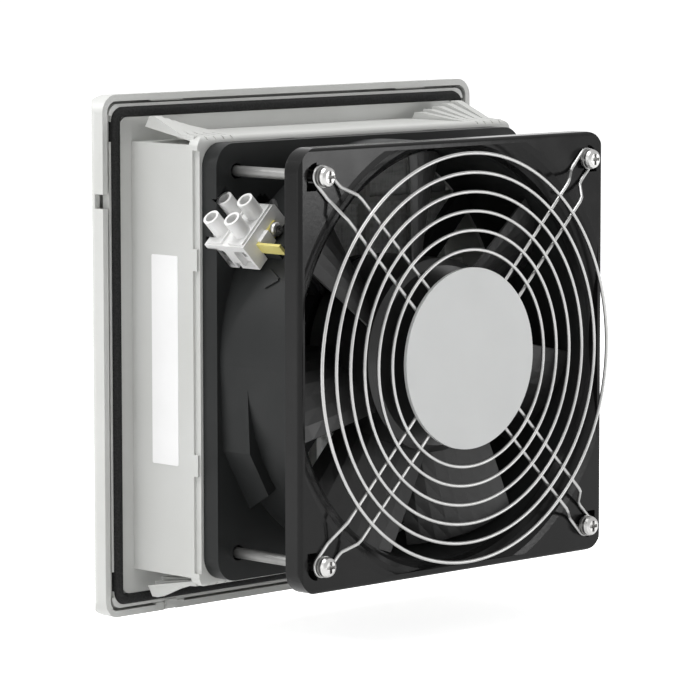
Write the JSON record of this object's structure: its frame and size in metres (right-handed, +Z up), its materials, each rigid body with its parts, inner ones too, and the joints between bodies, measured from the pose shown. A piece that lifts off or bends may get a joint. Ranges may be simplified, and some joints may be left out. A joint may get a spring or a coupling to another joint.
{
  "type": "cabinet filter fan",
  "caption": "Wall-mounted enclosure filter fan: louvred hinged cover, filter mat, snap-in collar, seal, axial fan with wire guard and terminal block.",
  "frame": {"origin": "centre of the wall cut-out, on the outer face of the wall where the seal rests", "axes": "+Y along the fan axis into the enclosure, +Z up, +X to the right seen from the front"},
  "size_m": [0.145, 0.0767, 0.145],
  "materials": {
    "light_grey_plastic": "fine satin moulding",
    "black_foam": "matt foam",
    "filter_fleece": "loose white fibre",
    "black_metal": "satin black paint",
    "black_plastic": "satin",
    "dark_steel": "plain",
    "bright_steel": "bright zinc plate",
    "copper": "enamelled wire",
    "plated_wire": "bright plated wire",
    "grey_sheet": "satin grey",
    "white_plastic": "satin",
    "brass": "plain"
  },
  "bodies": {
    "base": {"base_frame": "light_grey_plastic", "panel_seal": "black_foam", "filter_mat": "filter_fleece", "fan_frame": "black_metal", "bearing_outer_rings": "bright_steel", "bearing_balls": "bright_steel", "stator_core": "dark_steel", "stator_windings": "copper", "motor_leads": "black_plastic", "guard_rings": "plated_wire", "guard_legs": "plated_wire", "guard_disc": "grey_sheet", "fan_screws": "bright_steel", "screw_washers": "bright_steel", "terminal_body": "white_plastic", "terminal_sleeves": "bright_steel", "terminal_screws": "bright_steel", "earth_tab": "brass", "earth_screw": "bright_steel"},
    "cover": {"front_cover": "light_grey_plastic"},
    "rotor": {"impeller": "black_plastic", "rotor_ring": "dark_steel", "shaft": "bright_steel", "bearing_inner_rings": "bright_steel", "retaining_clip": "dark_steel"}
  },
  "joints": [
    {"name": "impeller_spin", "type": "hinge", "parent": "base", "child": "rotor", "pos_m": [0, 0.045, 0], "axis": [0, 1, 0], "continuous": true},
    {"name": "cover_hinge", "type": "hinge", "parent": "base", "child": "cover", "pos_m": [0, -0.0024, -0.071], "axis": [1, 0, 0], "range_deg": [0, 90]}
  ]
}
